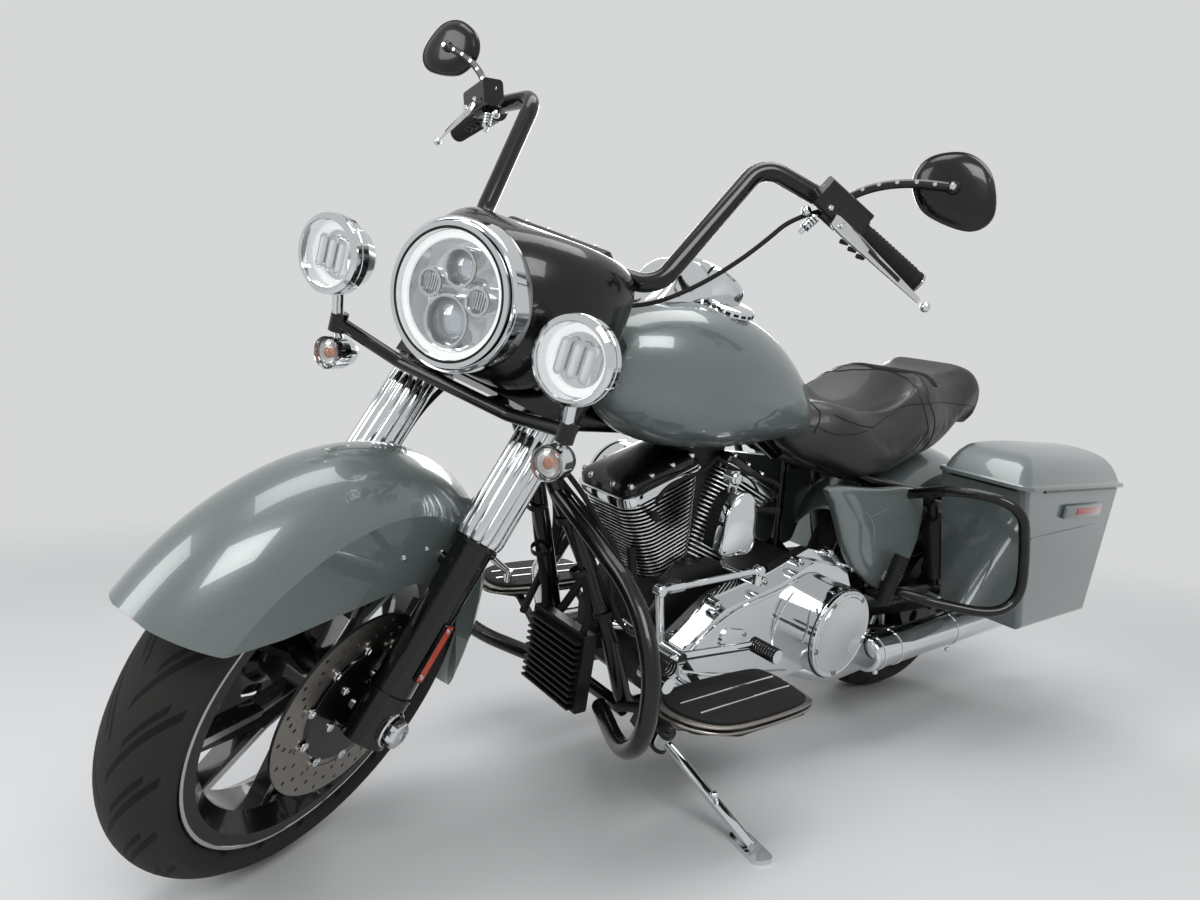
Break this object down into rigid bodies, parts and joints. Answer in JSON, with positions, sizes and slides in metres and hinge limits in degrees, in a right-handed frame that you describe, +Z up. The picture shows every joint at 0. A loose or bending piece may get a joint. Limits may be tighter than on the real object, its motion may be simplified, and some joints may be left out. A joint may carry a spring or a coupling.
{
  "type": "touring cruiser motorcycle",
  "caption": "Two-wheeled touring cruiser on its side stand: V-twin engine, high handlebar, round headlamp with side lamps, two-up seat and lidded hard saddlebags",
  "frame": {"origin": "on the floor under the middle of the outer box, as it stands on its side stand", "axes": "+X forward along the machine, +Y to its left, +Z up"},
  "size_m": [2.369, 1.0779, 1.5585],
  "materials": {
    "alloy": "polished alloy",
    "black_gloss": "gloss black",
    "black_satin": "satin black powder coat",
    "chrome": "bright chrome",
    "disc_steel": "ground stainless",
    "leather": "black leather",
    "lens": "clear lens",
    "paint": "gloss grey-green paint",
    "reflector_red": "orange-red reflector",
    "rubber": "black rubber",
    "tyre": "matt black rubber"
  },
  "bodies": {
    "chassis": {"air_cleaner": "chrome", "bag_guards": "black_gloss", "console": "chrome", "cylinders": "black_satin", "drive_belt": "rubber", "engine_cases": "black_satin", "engine_guard": "black_gloss", "exhaust": "chrome", "foot_controls": "chrome", "footboards": "black_satin", "frame": "black_gloss", "fuel_tank": "paint", "horn_cover": "chrome", "oil_cooler": "black_satin", "passenger_pegs": "black_satin", "primary_cover": "chrome", "pushrod_tubes": "chrome", "rear_axle": "chrome", "rear_caliper": "black_satin", "rear_fender": "paint", "rear_shocks": "black_satin", "rocker_covers": "black_gloss", "saddlebags": "paint", "seat": "leather", "side_covers": "paint", "swingarm": "black_gloss", "tail_lamp": "chrome"},
    "front_wheel": {"front_tyre": "tyre", "front_wheel": "black_gloss", "front_discs": "disc_steel"},
    "steering": {"fork_legs": "black_gloss", "fork_tubes": "chrome", "fork_covers": "black_gloss", "fork_clamps": "black_gloss", "front_axle": "chrome", "front_calipers": "black_satin", "fork_reflectors": "reflector_red", "front_fender": "paint", "headlamp": "chrome", "lamp_glasses": "lens", "nacelle": "black_gloss", "light_bar": "black_gloss", "aux_lamps": "chrome", "turn_signals": "chrome", "handlebar": "black_gloss", "grips": "rubber", "hand_controls": "black_gloss", "levers": "alloy", "mirrors": "black_gloss", "clutch_cable": "rubber"},
    "rear_wheel": {"rear_tyre": "tyre", "rear_wheel": "black_gloss", "rear_pulley": "black_satin", "rear_disc": "disc_steel"},
    "left_lid": {"left_lid": "paint"},
    "right_lid": {"right_lid": "paint"},
    "side_stand": {"side_stand": "chrome"}
  },
  "joints": [
    {"name": "steering_turn", "type": "hinge", "parent": "chassis", "child": "steering", "pos_m": [0.6429, 0.0099, 0.84044], "axis": [-0.4382, 0.1406, 0.8878], "range_deg": [-56, 0]},
    {"name": "front_wheel_spin", "type": "hinge", "parent": "steering", "child": "front_wheel", "pos_m": [0.88873, -0.07908, 0.31754], "axis": [-0.422, 0.8399, -0.3413], "continuous": true},
    {"name": "rear_wheel_spin", "type": "hinge", "parent": "chassis", "child": "rear_wheel", "pos_m": [-0.73763, -0.07218, 0.32218], "axis": [0, 0.9877, -0.1564], "continuous": true},
    {"name": "side_stand_fold", "type": "hinge", "parent": "chassis", "child": "side_stand", "pos_m": [0.27033, 0.08142, 0.12857], "axis": [0.0529, 0.5102, 0.8584], "range_deg": [0, 73.8]},
    {"name": "left_lid_hinge", "type": "hinge", "parent": "chassis", "child": "left_lid", "pos_m": [-0.73756, 0.39735, 0.61787], "axis": [-1, 0, 0.0002], "range_deg": [0, 75]},
    {"name": "right_lid_hinge", "type": "hinge", "parent": "chassis", "child": "right_lid", "pos_m": [-0.73756, -0.42737, 0.74849], "axis": [1, 0, -0.0002], "range_deg": [0, 75]}
  ]
}
